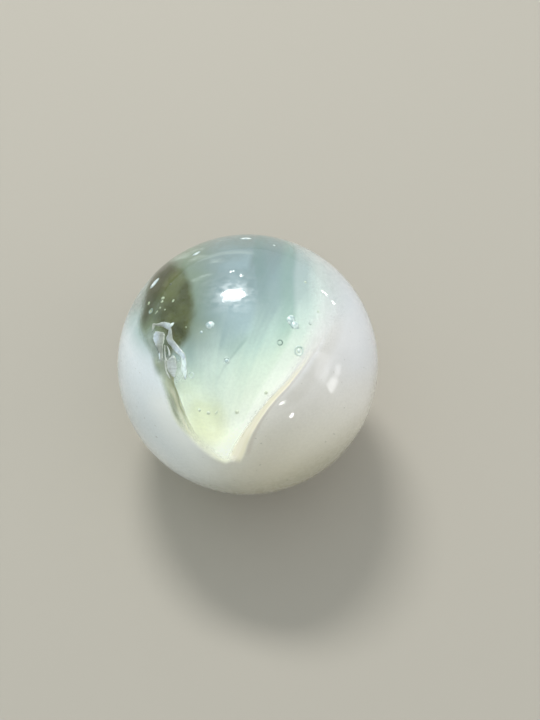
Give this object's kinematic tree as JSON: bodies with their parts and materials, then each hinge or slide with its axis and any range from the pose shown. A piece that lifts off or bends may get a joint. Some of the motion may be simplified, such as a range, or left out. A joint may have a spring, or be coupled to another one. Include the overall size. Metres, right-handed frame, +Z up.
{
  "type": "glass marble",
  "caption": "Ball of milky white glass with a clear, green to blue tinted window in its upper side and an open cold fold down one edge of the window.",
  "frame": {"origin": "centre of the ball", "axes": "+Z up through the ball as it lies, with the window in the upper side and its point towards -Y; the cold fold is on the -X side of the window"},
  "size_m": [0.016, 0.016, 0.016],
  "materials": {
    "opal_glass": "polished milky white glass with a clear window tinted yellow-green to teal"
  },
  "bodies": {
    "root": {"marble": "opal_glass"}
  },
  "joints": []
}
